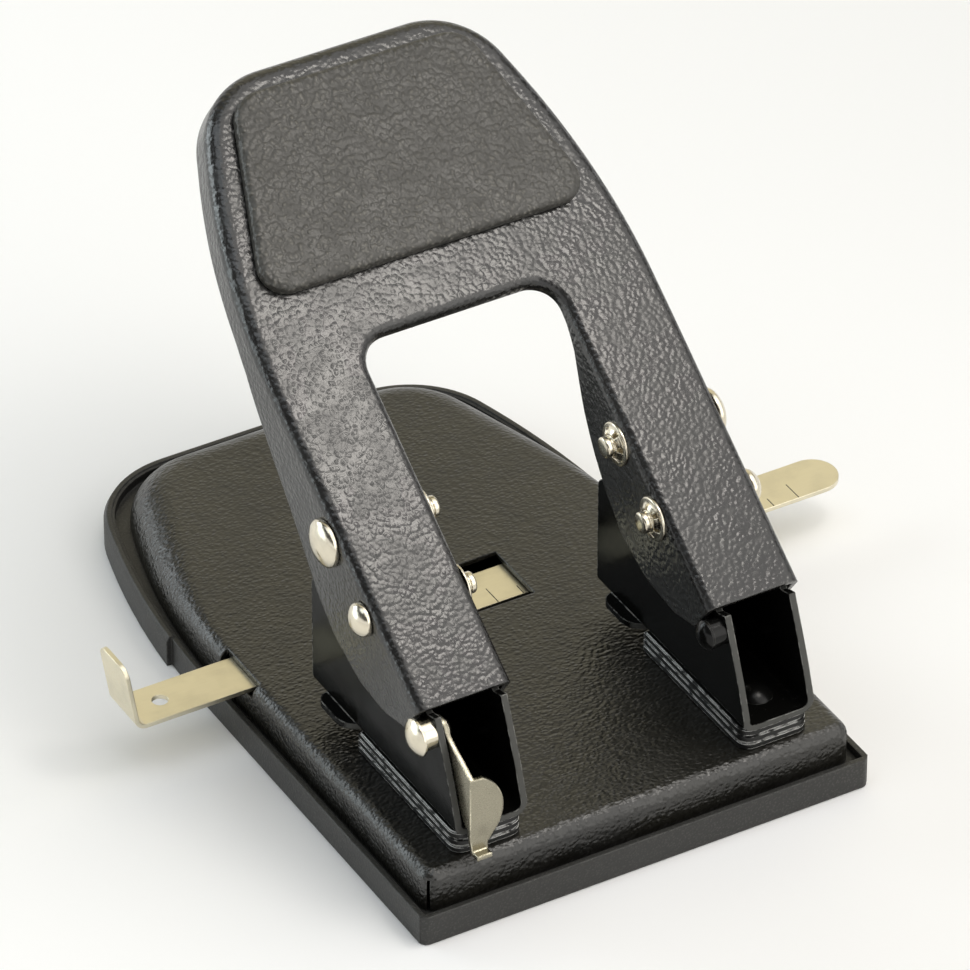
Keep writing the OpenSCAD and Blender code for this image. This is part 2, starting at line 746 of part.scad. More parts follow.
module handle_frame() {
    color([0.22, 0.21, 0.2]) difference() {
        on_face() union() {
            outer_flange();
            inner_flange();
            face_plate();
        }
        bar(pivot, pin_d + 2 * fit, -big / 2, big / 2);
        bar(drive, pin_d + 2 * fit, -big / 2, big / 2);
    }
}

module handle_pad() {
    r0 = pad_low_r;
    r1 = pad_top_r;
    a = pad_taper;
    w1 = pad_hw - (pad_to - pad_from) * tan(a);
    // corner centres, tangent to the sloping sides
    c0 = [pad_hw - r0 * (1 + sin(a)) / cos(a), pad_from + r0];
    c1 = [w1 - r1 * (1 - sin(a)) / cos(a), pad_to - r1];
    half = concat(arc(c0, r0, -90, a, 8), arc(c1, r1, a, 90, 8));
    inner = concat(arc(c0, r0 - 1, -90, a, 8), arc(c1, r1 - 1, a, 90, 8));
    color([0.3, 0.3, 0.29]) on_face() union() {
        linear_extrude(pad_t - 0.7) polygon(concat(half, mirrored(half)));
        linear_extrude(pad_t) polygon(concat(inner, mirrored(inner)));
    }
}

// through pin of one leg: domed head on the outer side, end standing out of its nut on the inner side
module leg_pin(p, head, sgn) {
    o = lever_hw - hx;
    i = hx - leg_in;
    at_head(sgn) mirror([sgn < 0 ? 1 : 0, 0, 0]) union() {
        bar(p, pin_d, -i - nut_t - pin_out, o + 0.5);
        translate([o, p[0], p[1]]) rotate([0, 90, 0]) domed(head, head_rim, 2);
    }
}

module left_pivot_pin() {
    color([0.82, 0.8, 0.74]) leg_pin(pivot, pivot_head_d, -1);
}

module right_pivot_pin() {
    color([0.82, 0.8, 0.74]) leg_pin(pivot, pivot_head_d, 1);
}

module left_drive_pin() {
    color([0.82, 0.8, 0.74]) leg_pin(drive, drive_head_d, -1);
}

module right_drive_pin() {
    color([0.82, 0.8, 0.74]) leg_pin(drive, drive_head_d, 1);
}

module push_nuts() {
    color([0.82, 0.8, 0.74]) both() for (p = [pivot, drive]) difference() {
        union() {
            bar(p, nut_d, leg_in - nut_t, leg_in);
            bar(p, pin_d + 2, leg_in - nut_t - 0.7, leg_in);
        }
        bar(p, pin_d + 2 * fit, leg_in - 5, leg_in + 5);
    }
}

// punches

module punch() {
    y0 = drive[0] - 0.2;
    y1 = drive_down[0] + 0.2;
    r = slot_r + punch_rim;
    difference() {
        union() {
            translate([0, 0, punch_tip]) cylinder(d = hole_d, h = drive[1] - 4 - punch_tip);
            side(-3, 3) polygon(concat(arc([y1, drive[1]], r, 90, 0, 8),
                                       [[hole_d / 2, drive[1] - 9], [-hole_d / 2, drive[1] - 9]],
                                       arc([y0, drive[1]], r, 180, 90, 8)));
        }
        // slot for the drive pin
        bar([y0, drive[1]], 2 * slot_r, -10, 10);
        bar([y1, drive[1]], 2 * slot_r, -10, 10);
        translate([-10, y0, drive[1] - slot_r]) cube([20, y1 - y0, 2 * slot_r]);
        // hollow cutting end
        translate([-10, 0, punch_tip - 3.4]) rotate([0, 90, 0]) cylinder(r = 4.6, h = 20);
        // groove that holds the spring seat
        translate([0, 0, seat_z]) difference() {
            cylinder(d = hole_d + 2, h = seat_t);
            translate([0, 0, -1]) cylinder(d = hole_d - 1, h = seat_t + 2);
        }
    }
}

module left_punch() {
    color([0.66, 0.66, 0.66]) at_head(-1) punch();
}

module right_punch() {
    color([0.66, 0.66, 0.66]) at_head(1) punch();
}

module spring_seat() {
    difference() {
        translate([0, 0, seat_z + rest / 2]) cylinder(d = 13, h = seat_t - rest);
        translate([0, 0, seat_z - 1]) cylinder(d = hole_d - 1 + 2 * fit, h = seat_t + 2);
    }
}

module left_spring_seat() {
    color([0.4, 0.4, 0.4]) at_head(-1) spring_seat();
}

module right_spring_seat() {
    color([0.4, 0.4, 0.4]) at_head(1) spring_seat();
}

// spring wire: rings of six points along a helix, with a straight end of one wire diameter at each end
module return_spring() {
    sides = 6;
    per_turn = 8;
    n = per_turn * spring_turns;
    w = spring_wire / 2;
    z0 = web_top + rest + w;
    rise = seat_z - rest - w - z0;
    lead = atan2(rise / spring_turns, 2 * PI * spring_r);
    function mid(k) = let (a = 360 * spring_turns * k / n)
        [spring_r * cos(a), spring_r * sin(a), z0 + rise * k / n];
    function up(a) = [sin(a) * sin(lead), -cos(a) * sin(lead), cos(lead)];
    function ring(c, a) = [for (j = [0 : sides - 1]) let (b = 360 * j / sides)
        c + w * (cos(b) * [cos(a), sin(a), 0] + sin(b) * up(a))];
    function along(a) = cos(lead) * [-sin(a), cos(a), 0];
    last = 360 * spring_turns;
    rings = concat([ring(mid(0) - spring_wire * along(0), 0)],
                   [for (k = [0 : n]) ring(mid(k), 360 * spring_turns * k / n)],
                   [ring(mid(n) + spring_wire * along(last), last)]);
    m = len(rings);
    points = [for (r = rings) for (q = r) q];
    faces = concat([[for (j = [0 : sides - 1]) j]],
                   [for (k = [0 : m - 2]) for (j = [0 : sides - 1])
                       let (a = k * sides + j, b = k * sides + (j + 1) % sides) [a, a + sides, b]],
                   [for (k = [0 : m - 2]) for (j = [0 : sides - 1])
                       let (a = k * sides + j, b = k * sides + (j + 1) % sides) [b, a + sides, b + sides]],
                   [[for (j = [sides - 1 : -1 : 0]) (m - 1) * sides + j]]);
    polyhedron(points, faces);
}

module left_return_spring() {
    color([0.7, 0.7, 0.68]) at_head(-1) return_spring();
}

module right_return_spring() {
    color([0.7, 0.7, 0.68]) at_head(1) return_spring();
}

chip_tray();
base_plate();
left_head_bracket();
right_head_bracket();
left_spacer_plates();
right_spacer_plates();
left_die_plate();
right_die_plate();
left_guide_bush();
right_guide_bush();
bracket_rivets();
latch_pin();
stop_pin();
guide_clips();
paper_guide();
handle_frame();
handle_pad();
left_pivot_pin();
right_pivot_pin();
left_drive_pin();
right_drive_pin();
push_nuts();
left_punch();
right_punch();
left_spring_seat();
right_spring_seat();
left_return_spring();
right_return_spring();
latch_hook();
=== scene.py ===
"""Looks of the two-hole paper punch: materials, small detailed pieces, camera and light."""
import math

import bmesh
import bpy
from mathutils import Matrix, Vector


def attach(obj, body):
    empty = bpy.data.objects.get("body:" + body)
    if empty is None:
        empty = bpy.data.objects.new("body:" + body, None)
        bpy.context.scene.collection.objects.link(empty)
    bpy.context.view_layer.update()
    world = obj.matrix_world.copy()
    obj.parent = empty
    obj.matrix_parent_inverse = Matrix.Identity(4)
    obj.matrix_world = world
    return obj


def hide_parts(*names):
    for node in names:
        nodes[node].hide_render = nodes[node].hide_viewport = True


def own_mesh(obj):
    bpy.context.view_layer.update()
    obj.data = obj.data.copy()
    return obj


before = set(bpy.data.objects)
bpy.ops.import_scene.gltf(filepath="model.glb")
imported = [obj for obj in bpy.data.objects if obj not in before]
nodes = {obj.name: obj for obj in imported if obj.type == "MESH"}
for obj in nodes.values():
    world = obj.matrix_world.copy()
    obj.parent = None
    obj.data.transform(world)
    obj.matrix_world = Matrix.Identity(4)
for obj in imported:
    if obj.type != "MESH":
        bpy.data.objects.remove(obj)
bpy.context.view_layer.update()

scene = bpy.context.scene
MM = 0.001
QUARTER = math.pi / 2
FULL = 2 * math.pi

# sizes repeated from the part's source, in millimetres
HX = 35.0                           # a punch's axis from the middle
PIVOT = (-17.593, 56.738)           # Y and Z of the pivot pins
DRIVE = (-2.097, 66.524)            # Y and Z of the drive pins
PIN_R = 2.4
PIN_OUT = 2.6                       # a pin's end past its push nut
NUT_T = 0.8
LEG_IN = 23.7                       # the legs' faces on the window side
LEVER_HW = 46.3
FACE_ANGLE = math.radians(35.4)     # the lever's face against the table
FACE_Y, FACE_Z = -40.4, 47.4        # the face's lower end
PAD_TAPER = math.radians(16)
PAD_FROM, PAD_TO, PAD_HW = 93.8, 138.1, 40.5
PAD_LOW_R, PAD_TOP_R = 6.0, 7.5
SPRING_R, SPRING_WIRE, SPRING_LOW, SPRING_HIGH = 6.2, 1.3, 22.0, 51.9
GUIDE_Y, GUIDE_W, GUIDE_TOP, GUIDE_LOW = 28.9, 11.6, 13.4, 12.4
ON_FACE = Matrix.Translation((0, FACE_Y * MM, FACE_Z * MM)) @ Matrix.Rotation(FACE_ANGLE, 4, "X")


# node helpers

def start(name):
    """A new node material: itself, its tree and its shader."""
    m = bpy.data.materials.new(name)
    m.use_nodes = True
    return m, m.node_tree, m.node_tree.nodes["Principled BSDF"]


def feed(nt, value, socket):
    """Links a socket to another, or sets it to a constant."""
    if isinstance(value, bpy.types.NodeSocket):
        nt.links.new(value, socket)
    else:
        socket.default_value = value


def add(nt, kind, **inputs):
    """A node with some of its inputs set or linked."""
    n = nt.nodes.new("ShaderNode" + kind)
    for key, value in inputs.items():
        feed(nt, value, n.inputs[key])
    return n


def math_node(nt, op, a, b, clamp=False):
    n = nt.nodes.new("ShaderNodeMath")
    n.operation = op
    n.use_clamp = clamp
    feed(nt, a, n.inputs[0])
    feed(nt, b, n.inputs[1])
    return n.outputs[0]


def vector_node(nt, op, *values):
    n = nt.nodes.new("ShaderNodeVectorMath")
    n.operation = op
    for value, socket in zip(values, n.inputs):
        feed(nt, value, socket)
    return n.outputs["Value" if op == "DOT_PRODUCT" else "Vector"]


def mix_colour(nt, factor, a, b):
    """Colour a where factor is 0, b where it is 1."""
    n = nt.nodes.new("ShaderNodeMix")
    n.data_type = "RGBA"
    for value, k in ((factor, 0), (a, 6), (b, 7)):
        feed(nt, value, n.inputs[k])
    return n.outputs[2]


def ramp(nt, factor, low, high, a=0.0, b=1.0):
    """factor from low to high becomes a to b, smoothly."""
    n = nt.nodes.new("ShaderNodeMapRange")
    n.interpolation_type = "SMOOTHSTEP"
    for k, value in enumerate((factor, low, high, a, b)):
        feed(nt, value, n.inputs[k])
    return n.outputs[0]


def rgb(r, g, b):
    return (r, g, b, 1.0)


def tint(colour, gain, lift=0.0):
    """A colour made lighter or darker."""
    return rgb(*[min(1.0, c * gain + lift) for c in colour])


def place(nt):
    """The point on the object, in metres, from the part's origin."""
    return add(nt, "TexCoord").outputs["Object"]


def noise(nt, at, scale, detail, rough=0.5):
    n = add(nt, "TexNoise", Vector=at, Scale=scale, Detail=detail, Roughness=rough)
    return n.outputs["Fac"]


def patches(nt, at, scale, detail):
    """Soft patches from 0 to 1."""
    return ramp(nt, noise(nt, at, scale, detail), 0.3, 0.7)


WARP_SCALE, WARP = 0.55, 0.8        # of a cell: how the grain wanders
FINE_SCALE, FINE = 1.9, 0.2         # the small bumps on the cells
CELL_SOFT, CELL_HEIGHT = 0.6, -0.9


def pebbles(nt, at, size, stretch=(1, 1, 1)):
    """Height of a leather-like grain, with cells of about that size in metres."""
    mapped = add(nt, "Mapping", Vector=at, Scale=stretch).outputs[0]
    warp = add(nt, "TexNoise", Vector=mapped, Scale=WARP_SCALE / size, Detail=1.0)
    moved = vector_node(nt, "MULTIPLY_ADD", warp.outputs["Color"], (size * WARP,) * 3, mapped)
    cells = nt.nodes.new("ShaderNodeTexVoronoi")
    cells.feature = "SMOOTH_F1"
    feed(nt, moved, cells.inputs["Vector"])
    feed(nt, 1 / size, cells.inputs["Scale"])
    feed(nt, CELL_SOFT, cells.inputs["Smoothness"])
    fine = math_node(nt, "MULTIPLY", noise(nt, moved, FINE_SCALE / size, 2.0), FINE)
    body = math_node(nt, "MULTIPLY", cells.outputs["Distance"], CELL_HEIGHT)
    return math_node(nt, "ADD", fine, body)


BEVEL_SAMPLES = 6
EDGE_FROM, EDGE_TO = 0.995, 0.86    # cosine between the true and the rounded normal
BREAKUP_FROM, BREAKUP_TO = 0.38, 0.62       # noise that breaks up the lighter edges, which are partly from wearing and partly a painted highlight


def edges(nt, radius, at, scale, amount):
    """(rounded normal, mask of lighter edges, partly from wearing and partly a painted
    highlight).
    """
    bevel = add(nt, "Bevel", Radius=radius)
    bevel.samples = BEVEL_SAMPLES
    normal = bevel.outputs[0]
    true = add(nt, "NewGeometry").outputs["Normal"]
    sharp = ramp(nt, vector_node(nt, "DOT_PRODUCT", normal, true), EDGE_FROM, EDGE_TO)
    breakup = ramp(nt, noise(nt, at, scale, 3.0), BREAKUP_FROM, BREAKUP_TO)
    wear_and_highlight = math_node(nt, "MULTIPLY", sharp, breakup)
    return normal, math_node(nt, "MULTIPLY", wear_and_highlight, amount, True)


def surface(nt, shader, colour, mask, spread, rough, height, depth, normal):
    """Links the colour, a roughness that rises by spread over the mask, and the bumps."""
    feed(nt, colour, shader.inputs["Base Color"])
    uneven = math_node(nt, "MULTIPLY", mask, spread)
    feed(nt, math_node(nt, "ADD", uneven, rough), shader.inputs["Roughness"])
    bumps = add(nt, "Bump", Height=height, Strength=1.0, Distance=depth, Normal=normal)
    feed(nt, bumps.outputs[0], shader.inputs["Normal"])


# materials: noise scales are per metre, sizes and depths in metres

def grained_paint(name, colour, wear_and_highlight, size, depth, rough, shine, stretch=(1, 1, 1)):
    """Painted sheet with a leather grain, painted shade in the grain's hollows, and lighter
    edges, partly from wearing and partly a painted highlight.
    """
    edge, edge_scale, wear_and_highlight_amount = 0.0006, 500.0, 0.5
    hollow_shade, cloud = 0.45, 1.25
    m, nt, shader = start(name)
    feed(nt, shine, shader.inputs["Specular IOR Level"])
    at = place(nt)
    grain = pebbles(nt, at, size, stretch)
    normal, edge_wear_and_highlight = edges(nt, edge, at, edge_scale, wear_and_highlight_amount)
    # painted shade: a darker colour in the grain's hollows
    shaded_hollows = mix_colour(nt, ramp(nt, grain, -0.35, 0.2), tint(colour, hollow_shade), rgb(*colour))
    shade = mix_colour(nt, patches(nt, at, 28.0, 3.0), shaded_hollows, tint(colour, cloud))
    # lighter edges: partly from wearing, partly a painted highlight
    surface(nt, shader, mix_colour(nt, edge_wear_and_highlight, shade, rgb(*wear_and_highlight)),
            patches(nt, at, 160.0, 3.0), 0.1, rough - 0.05, grain, depth, normal)
    return m


def smooth_paint(name, colour, wear_and_highlight, rough, edge, wear_and_highlight_amount, shine=0.5, front=0.0):
    """Smooth gloss paint with a faint ripple, lighter edges, partly from wearing and partly a
    painted highlight, and a painted highlight on faces that look to the front, such as cut ends.
    """
    edge_scale = 420.0
    dust_gain, dust_lift, dust_most = 2.2, 0.004, 0.5
    ripple, ripple_depth = 700.0, 0.00002
    m, nt, shader = start(name)
    feed(nt, shine, shader.inputs["Specular IOR Level"])
    at = place(nt)
    normal, edge_wear_and_highlight = edges(nt, edge, at, edge_scale, wear_and_highlight_amount)
    dust = ramp(nt, noise(nt, at, 900.0, 2.0), 0.62, 0.78, 0.0, dust_most)
    base = mix_colour(nt, dust, rgb(*colour), tint(colour, dust_gain, dust_lift))
    # painted highlight: faces that look to the front (-Y) take the lighter edge colour
    true = add(nt, "NewGeometry").outputs["Normal"]
    facing = add(nt, "SeparateXYZ", Vector=true).outputs["Y"]
    cut = math_node(nt, "MULTIPLY", ramp(nt, facing, -0.45, -0.75), front)
    edge_wear_and_highlight = math_node(nt, "MAXIMUM", edge_wear_and_highlight, cut)
    surface(nt, shader, mix_colour(nt, edge_wear_and_highlight, base, rgb(*wear_and_highlight)),
            ramp(nt, noise(nt, at, 120.0, 4.0), 0.35, 0.7), 0.12, rough,
            noise(nt, at, ripple, 2.0), ripple_depth, normal)
    return m


def plated(name, colour, rough, streak=(1, 1, 1), edge=0.0003, dark=0.6, rim=1.15, wear_and_highlight_amount=0.5):
    """Plated or bare metal with fine drawing lines, a little tarnish, and lighter rims, partly
    from wearing and partly a painted highlight.
    """
    edge_scale, tarnish_most = 300.0, 0.55
    line_scale, line_depth = 2600.0, 0.000006
    m, nt, shader = start(name)
    feed(nt, 1.0, shader.inputs["Metallic"])
    at = place(nt)
    mapped = add(nt, "Mapping", Vector=at, Scale=streak).outputs[0]
    lines = noise(nt, mapped, line_scale, 3.0, 0.6)
    normal, edge_wear_and_highlight = edges(nt, edge, at, edge_scale, wear_and_highlight_amount)
    dull = ramp(nt, noise(nt, at, 140.0, 4.0), 0.42, 0.75, 0.0, tarnish_most)
    tarnish = mix_colour(nt, dull, rgb(*colour), tint(colour, dark))
    # lighter rims: partly from wearing, partly a painted highlight
    surface(nt, shader, mix_colour(nt, edge_wear_and_highlight, tarnish, tint(colour, rim)),
            ramp(nt, lines, 0.3, 0.7), 0.14, rough, lines, line_depth, normal)
    return m


def moulded(name, colour, rough, size, depth, edge, mottle, uneven=0.14):
    """Moulded plastic with a fine skin texture, painted shade in its hollows, and lighter edges,
    partly from wearing and partly a painted highlight.
    """
    edge_scale, wear_and_highlight_amount = 600.0, 0.4
    hollow_shade, wear_and_highlight_gain, wear_and_highlight_lift = 0.4, 1.8, 0.01
    m, nt, shader = start(name)
    at = place(nt)
    skin = pebbles(nt, at, size)
    normal, edge_wear_and_highlight = edges(nt, edge, at, edge_scale, wear_and_highlight_amount)
    base = mix_colour(nt, patches(nt, at, 45.0, 4.0),
                      tint(colour, 1 - mottle), tint(colour, 1 + mottle))
    # painted shade: a darker colour in the skin's hollows
    shaded_hollows = mix_colour(nt, ramp(nt, skin, -0.35, 0.1), tint(colour, hollow_shade), base)
    # lighter edges: partly from wearing, partly a painted highlight
    surface(nt, shader, mix_colour(nt, edge_wear_and_highlight, shaded_hollows, tint(colour, wear_and_highlight_gain, wear_and_highlight_lift)),
            patches(nt, at, 220.0, 3.0), uneven, rough - 0.05, skin, depth, normal)
    return m


LEVER = grained_paint("lever_paint", (0.0125, 0.012, 0.011), wear_and_highlight=(0.12, 0.117, 0.11),
                      size=0.00105, depth=0.00015, rough=0.26, shine=0.75)
BASE = grained_paint("base_paint", (0.009, 0.0083, 0.0058), wear_and_highlight=(0.11, 0.11, 0.10),
                     size=0.0009, depth=0.00022, rough=0.34, shine=0.75,
                     stretch=(0.85, 1.15, 1.0))
PAD = moulded("pad_plastic", (0.102, 0.097, 0.084), rough=0.38, size=0.0011, depth=0.00034,
              edge=0.0008, mottle=0.25)
TRAY = moulded("tray_plastic", (0.046, 0.045, 0.040), rough=0.50, size=0.0006, depth=0.00005,
               edge=0.0006, mottle=0.08, uneven=0.03)
# head paint: a painted highlight on faces that look to the front, and lighter edges, partly from
# wearing and partly a painted highlight
HEAD = smooth_paint("head_paint", (0.003, 0.003, 0.0027), wear_and_highlight=(0.30, 0.30, 0.28), rough=0.14,
                    edge=0.0005, wear_and_highlight_amount=0.9, shine=0.08, front=0.25)
RIVET = smooth_paint("rivet_paint", (0.004, 0.004, 0.0038), wear_and_highlight=(0.14, 0.14, 0.13), rough=0.16,
                     edge=0.0003, wear_and_highlight_amount=0.4, shine=0.25)
# spacer paint: a near-white colour over most edges, a painted highlight along the plates' edges
SPACER = smooth_paint("spacer_paint", (0.008, 0.008, 0.0075), wear_and_highlight=(0.85, 0.85, 0.82), rough=0.3,
                      edge=0.00025, wear_and_highlight_amount=3.0, shine=0.35)
INK = smooth_paint("scale_ink", (0.05, 0.045, 0.035), wear_and_highlight=(0.07, 0.06, 0.05), rough=0.5,
                   edge=0.00005, wear_and_highlight_amount=0.3)
NICKEL = plated("nickel", (0.75, 0.69, 0.56), rough=0.13)
# latch: much lighter rims, a painted highlight along its edges
LATCH = plated("latch_nickel", (0.35, 0.325, 0.25), rough=0.22, edge=0.0006, rim=2.5, wear_and_highlight_amount=1.0)
GUIDE = plated("guide_nickel", (0.80, 0.74, 0.57), rough=0.30, streak=(0.06, 1, 1), dark=0.8)
TOOL = plated("tool_steel", (0.52, 0.52, 0.51), rough=0.22, streak=(1, 1, 0.08))
STRAP = plated("strap_steel", (0.42, 0.42, 0.41), rough=0.34)
WIRE = plated("spring_steel", (0.50, 0.50, 0.48), rough=0.22)
BRASS = plated("bush_brass", (0.72, 0.52, 0.22), rough=0.22)


# carried-over nodes

WELD_M = 2e-6
NODE_SPLIT = 38.0


def sharpen(o, angle):
    """Smooth shading breaks at edges sharper than an angle in degrees."""
    split = o.modifiers.new("split", "EDGE_SPLIT")
    split.split_angle = math.radians(angle)
    return o


def smooth(me):
    me.polygons.foreach_set("use_smooth", [True] * len(me.polygons))


def dress(node, material):
    """The node's material, and smooth shading that breaks at its real edges."""
    o = nodes[node]
    o.data.materials.clear()
    o.data.materials.append(material)
    if "custom_normal" in o.data.attributes:
        o.data.attributes.remove(o.data.attributes["custom_normal"])
    smooth(o.data)
    weld = o.modifiers.new("weld", "WELD")
    weld.merge_threshold = WELD_M
    sharpen(o, NODE_SPLIT)


for names, material in (
        (("chip_tray",), TRAY),
        (("left_head_bracket", "right_head_bracket"), HEAD),
        (("left_spacer_plates", "right_spacer_plates"), SPACER),
        (("bracket_rivets", "stop_pin"), RIVET),
        (("latch_pin",), NICKEL),
        (("latch_hook",), LATCH),
        (("paper_guide",), GUIDE),
        (("left_punch", "right_punch", "left_die_plate", "right_die_plate"), TOOL),
        (("guide_clips", "left_spring_seat", "right_spring_seat"), STRAP),
        (("left_guide_bush", "right_guide_bush"), BRASS)):
    for n in names:
        dress(n, material)


# mesh helpers

def show(name, data):
    """A new object in the scene."""
    o = bpy.data.objects.new(name, data)
    scene.collection.objects.link(o)
    return o


def piece(name, bm, material, body, matrix=None):
    """A mesh in millimetres as an object that rides on a body."""
    bmesh.ops.recalc_face_normals(bm, faces=bm.faces)
    me = bpy.data.meshes.new(name)
    bm.to_mesh(me)
    bm.free()
    me.transform(Matrix.Scale(MM, 4))
    if matrix is not None:
        me.transform(matrix)
    smooth(me)
    o = show(name, me)
    me.materials.append(material)
    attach(o, body)
    return o


def block(bm, lo, hi):
    """A box between two corners."""
    for v in bmesh.ops.create_cube(bm, size=1.0)["verts"]:
        v.co = Vector([a + (b - a) * (c + 0.5) for a, b, c in zip(lo, hi, v.co)])


def skin_rings(bm, rings, closed=False):
    """Quads between rings of points, capped at both ends or closed into a loop."""
    made = [[bm.verts.new(p) for p in ring] for ring in rings]
    pairs = list(zip(made, made[1:]))
    if closed:
        pairs.append((made[-1], made[0]))
    for a, b in pairs:
        n = len(a)
        for j in range(n):
            bm.faces.new((a[j], a[(j + 1) % n], b[(j + 1) % n], b[j]))
    if not closed:
        bm.faces.new(list(reversed(made[0])))
        bm.faces.new(made[-1])


def line(p, q, normal, n):
    """n rows of (point, normal) from p to q, without q."""
    return [((p[0] + (q[0] - p[0]) * k / n, p[1] + (q[1] - p[1]) * k / n), normal)
            for k in range(n)]


def arc(c, r, a0, a1, n):
    """n + 1 rows of (point, outward normal) along an arc."""
    turns = [a0 + (a1 - a0) * k / n for k in range(n + 1)]
    return [((c[0] + r * math.cos(a), c[1] + r * math.sin(a)), (math.cos(a), math.sin(a)))
            for a in turns]


def mirrored(rows):
    """Rows of (point, normal) on the other side, in the order that goes on round."""
    return [((-x, y), (-nx, ny)) for (x, y), (nx, ny) in reversed(rows)]


def between(table, x):
    """Value of a table of (x, value) rows at x."""
    if x <= table[0][0]:
        return table[0][1]
    for (x0, v0), (x1, v1) in zip(table, table[1:]):
        if x <= x1:
            return v0 + (v1 - v0) * (x - x0) / (x1 - x0)
    return table[-1][1]


def grow(x, x0, x1, v0, v1):
    """A value that goes smoothly from v0 to v1 between x0 and x1."""
    t = min(max((x - x0) / (x1 - x0), 0.0), 1.0)
    return v0 + (v1 - v0) * t * t * (3 - 2 * t)


BEND_STEPS = 10


def bent_rim(bm, stations, sheet):
    """Sheet turned down along an outline of (point, outward normal, radius, depth).

    Returns its rows of vertices on the outside and on the inside.
    """
    outer, inner = [], []
    for (x, y), (nx, ny), r, depth in stations:
        top, low = [], []
        for k in range(BEND_STEPS + 1):
            a = QUARTER * k / BEND_STEPS
            i = r - r * math.sin(a)
            j = r - (r - sheet) * math.sin(a)
            top.append((x - nx * i, y - ny * i, r * math.cos(a) - r))
            low.append((x - nx * j, y - ny * j, (r - sheet) * math.cos(a) - r))
        for f in (0.5, 1.0):
            d = r + (depth - r) * f
            top.append((x, y, -d))
            low.append((x - nx * sheet, y - ny * sheet, -d))
        outer.append([bm.verts.new(v) for v in top])
        inner.append([bm.verts.new(v) for v in low])
    return outer, inner


def rim_faces(bm, outer, inner, closed):
    """Faces on both sides of a bent rim and along its lower edge."""
    n = len(outer)
    for k in range(n if closed else n - 1):
        m = (k + 1) % n
        for rows in (outer, inner):
            for j in range(len(rows[0]) - 1):
                bm.faces.new((rows[k][j], rows[m][j], rows[m][j + 1], rows[k][j + 1]))
        bm.faces.new((outer[k][-1], outer[m][-1], inner[m][-1], inner[k][-1]))


SHEET_SPLIT = 40.0


def even_normals(o):
    """Flat faces stay flat where they run into a bend."""
    for e in o.data.edges:
        e.use_edge_sharp = False
    o.data.set_sharp_from_angle(angle=math.radians(SHEET_SPLIT))
    flat = o.modifiers.new("flat", "WEIGHTED_NORMAL")
    flat.weight = 100
    flat.keep_sharp = True


# the lever: an open outline round the outside, from leg to leg, and one round the window
L_LEN, L_STRAIGHT, L_SIDE_R, L_CORNER_R = 143.8, 74.6, 160.0, 18.9
L_TAPER = math.radians(18.95)
L_SHEET, L_WINDOW_R, L_GAP, L_GAP_R = 1.5, 2.2, 79.7, 7.0
L_BEND = (55, 120, 2.4, 3.5)        # the outer bend: from and to along the lever, its radii
L_LEAST = 0.3                       # flat part of a flange below its bend
# flange depths along the lever
L_OUTER = [(0, 9.6), (6, 16), (16, 21.5), (27, 23.4), (37, 22.2), (46, 19.3), (55, 16.8),
           (66, 14.1), (75, 11.6), (83, 9.4), (90, 8.6), (98, 8.8), (108, 9.2), (120, 9.3),
           (133, 9.3), (160, 9.3)]
L_INNER = [(0, 9.6), (6, 16), (16, 21.5), (27, 23.4), (37, 21.4), (46, 18.2), (54, 14),
           (60, 9.6), (65, 5.8), (70, 4), (77, 3.4), (160, 3.4)]


def lever_outside():
    t = L_TAPER
    slant = (math.cos(t), math.sin(t))
    side_c = (LEVER_HW - L_SIDE_R, L_STRAIGHT)
    a = (LEVER_HW - L_SIDE_R * (1 - slant[0]), L_STRAIGHT + L_SIDE_R * slant[1])
    drawn_in = (L_LEN - L_CORNER_R - a[1]) * slant[1]
    c = (a[0] - (L_CORNER_R + drawn_in) / slant[0], L_LEN - L_CORNER_R)
    b = (c[0] + L_CORNER_R * slant[0], c[1] + L_CORNER_R * slant[1])
    half = line((LEVER_HW, 0), (LEVER_HW, L_STRAIGHT), (1, 0), 30)
    half += arc(side_c, L_SIDE_R, 0, t, 25)[:-1]
    half += line(a, b, slant, 4)
    half += arc(c, L_CORNER_R, t, QUARTER, 24)
    half += line((c[0], L_LEN), (0, L_LEN), (0, 1), 4)[1:]
    middle = [((0, L_LEN), (0, 1))]
    out = []
    for p, n in half + middle + mirrored(half):
        r = grow(p[1], *L_BEND)
        out.append((p, n, r, max(between(L_OUTER, p[1]), r + L_LEAST)))
    return out


def lever_window():
    c = (LEG_IN - L_GAP_R, L_GAP - L_GAP_R)
    half = line((LEG_IN, 0), (LEG_IN, c[1]), (-1, 0), 26)
    half += [(p, (-nx, -ny)) for p, (nx, ny) in arc(c, L_GAP_R, 0, QUARTER, 12)]
    half += line((c[0], L_GAP), (0, L_GAP), (0, -1), 3)[1:]
    middle = [((0, L_GAP), (0, -1))]
    return [(p, n, L_WINDOW_R, between(L_INNER, p[1])) for p, n in half + middle + mirrored(half)]


bm = bmesh.new()
out_top, out_low = bent_rim(bm, lever_outside(), L_SHEET)
win_top, win_low = bent_rim(bm, lever_window(), L_SHEET)
rim_faces(bm, out_top, out_low, False)
rim_faces(bm, win_top, win_low, False)
for a, b in ((out_top, win_top), (out_low, win_low)):
    bm.faces.new([row[0] for row in a] + [row[0] for row in reversed(b)])
for k in (0, -1):
    bm.faces.new(list(reversed(out_top[k])) + win_top[k]
                 + list(reversed(win_low[k])) + out_low[k])
lever = piece("lever_pressing", bm, LEVER, "lever", ON_FACE)
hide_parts("handle_frame")
even_normals(lever)


